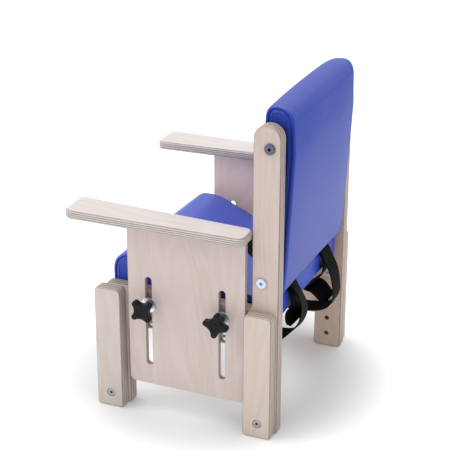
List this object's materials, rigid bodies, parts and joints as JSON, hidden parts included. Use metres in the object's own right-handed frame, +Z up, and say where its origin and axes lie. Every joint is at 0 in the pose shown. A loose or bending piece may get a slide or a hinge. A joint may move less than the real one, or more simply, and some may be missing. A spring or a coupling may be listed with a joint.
{
  "type": "postural support chair",
  "caption": "Small plywood posture chair with upholstered seat and reclined back, slotted side panels carrying armrests that slide and clamp with star knobs, and lap straps.",
  "frame": {"origin": "on the floor, under the middle of the whole chair's box", "axes": "+Z up, +X to the sitter's left, -Y to the front; X = 0 is the mid-plane"},
  "size_m": [0.4152, 0.3636, 0.5374],
  "materials": {
    "birch_ply": "satin",
    "blue_vinyl": "satin",
    "black_webbing": "matte",
    "black_plastic": "satin",
    "zinc_steel": "satin",
    "white_nylon": "satin"
  },
  "bodies": {
    "frame": {"left_side_frame": "birch_ply", "right_side_frame": "birch_ply", "front_left_leg_board": "birch_ply", "front_right_leg_board": "birch_ply", "rear_left_leg_board": "birch_ply", "rear_right_leg_board": "birch_ply", "front_cross_rail": "birch_ply", "rear_cross_rail": "birch_ply", "seat_board": "birch_ply", "back_board": "birch_ply", "seat_cushion": "blue_vinyl", "back_cushion": "blue_vinyl", "left_lap_strap": "black_webbing", "right_lap_strap": "black_webbing", "left_strap_tail": "black_webbing", "right_strap_tail": "black_webbing", "leg_clamp_bolts": "zinc_steel", "leg_foot_bolts": "zinc_steel", "seat_rail_bolts": "zinc_steel", "back_bolts": "zinc_steel", "leg_clamp_inserts": "zinc_steel", "leg_foot_inserts": "zinc_steel", "rail_inserts": "zinc_steel", "seat_rail_barrel_nuts": "zinc_steel", "back_barrel_nuts": "zinc_steel", "seat_board_screws": "zinc_steel", "strap_anchor_bars": "zinc_steel", "strap_anchor_screws": "zinc_steel", "back_spacers": "white_nylon"},
    "left_arm": {"left_side_panel": "birch_ply", "left_armrest": "birch_ply"},
    "right_arm": {"right_side_panel": "birch_ply", "right_armrest": "birch_ply"},
    "front_left_washer": {"front_left_knob_washer": "zinc_steel"},
    "front_left_knob": {"front_left_knob": "black_plastic", "front_left_knob_stud": "zinc_steel"},
    "rear_left_washer": {"rear_left_knob_washer": "zinc_steel"},
    "rear_left_knob": {"rear_left_knob": "black_plastic", "rear_left_knob_stud": "zinc_steel"},
    "front_right_washer": {"front_right_knob_washer": "zinc_steel"},
    "front_right_knob": {"front_right_knob": "black_plastic", "front_right_knob_stud": "zinc_steel"},
    "rear_right_washer": {"rear_right_knob_washer": "zinc_steel"},
    "rear_right_knob": {"rear_right_knob": "black_plastic", "rear_right_knob_stud": "zinc_steel"}
  },
  "joints": [
    {"name": "left_arm_height", "type": "slide", "parent": "frame", "child": "left_arm", "axis": [0, 0, 1], "range_m": [-0.04, 0.1]},
    {"name": "right_arm_height", "type": "slide", "parent": "frame", "child": "right_arm", "axis": [0, 0, 1], "range_m": [-0.04, 0.1]},
    {"name": "front_left_knob_travel", "type": "slide", "parent": "frame", "child": "front_left_washer", "axis": [1, 0, 0], "range_m": [0, 0.0025]},
    {"name": "front_left_knob_turn", "type": "hinge", "parent": "front_left_washer", "child": "front_left_knob", "pos_m": [0.19, -0.04926, 0.192], "axis": [1, 0, 0], "range_deg": [0, 720]},
    {"name": "rear_left_knob_travel", "type": "slide", "parent": "frame", "child": "rear_left_washer", "axis": [1, 0, 0], "range_m": [0, 0.0025]},
    {"name": "rear_left_knob_turn", "type": "hinge", "parent": "rear_left_washer", "child": "rear_left_knob", "pos_m": [0.19, 0.07654, 0.192], "axis": [1, 0, 0], "range_deg": [0, 720]},
    {"name": "front_right_knob_travel", "type": "slide", "parent": "frame", "child": "front_right_washer", "axis": [-1, 0, 0], "range_m": [0, 0.0025]},
    {"name": "front_right_knob_turn", "type": "hinge", "parent": "front_right_washer", "child": "front_right_knob", "pos_m": [-0.19, -0.04926, 0.192], "axis": [-1, 0, 0], "range_deg": [0, 720]},
    {"name": "rear_right_knob_travel", "type": "slide", "parent": "frame", "child": "rear_right_washer", "axis": [-1, 0, 0], "range_m": [0, 0.0025]},
    {"name": "rear_right_knob_turn", "type": "hinge", "parent": "rear_right_washer", "child": "rear_right_knob", "pos_m": [-0.19, 0.07654, 0.192], "axis": [-1, 0, 0], "range_deg": [0, 720]}
  ],
  "couplings": [
    {"joint": "front_left_knob_turn", "follows": "front_left_knob_travel", "rad_per_m": 5026.5},
    {"joint": "rear_left_knob_turn", "follows": "rear_left_knob_travel", "rad_per_m": 5026.5},
    {"joint": "front_right_knob_turn", "follows": "front_right_knob_travel", "rad_per_m": 5026.5},
    {"joint": "rear_right_knob_turn", "follows": "rear_right_knob_travel", "rad_per_m": 5026.5}
  ]
}
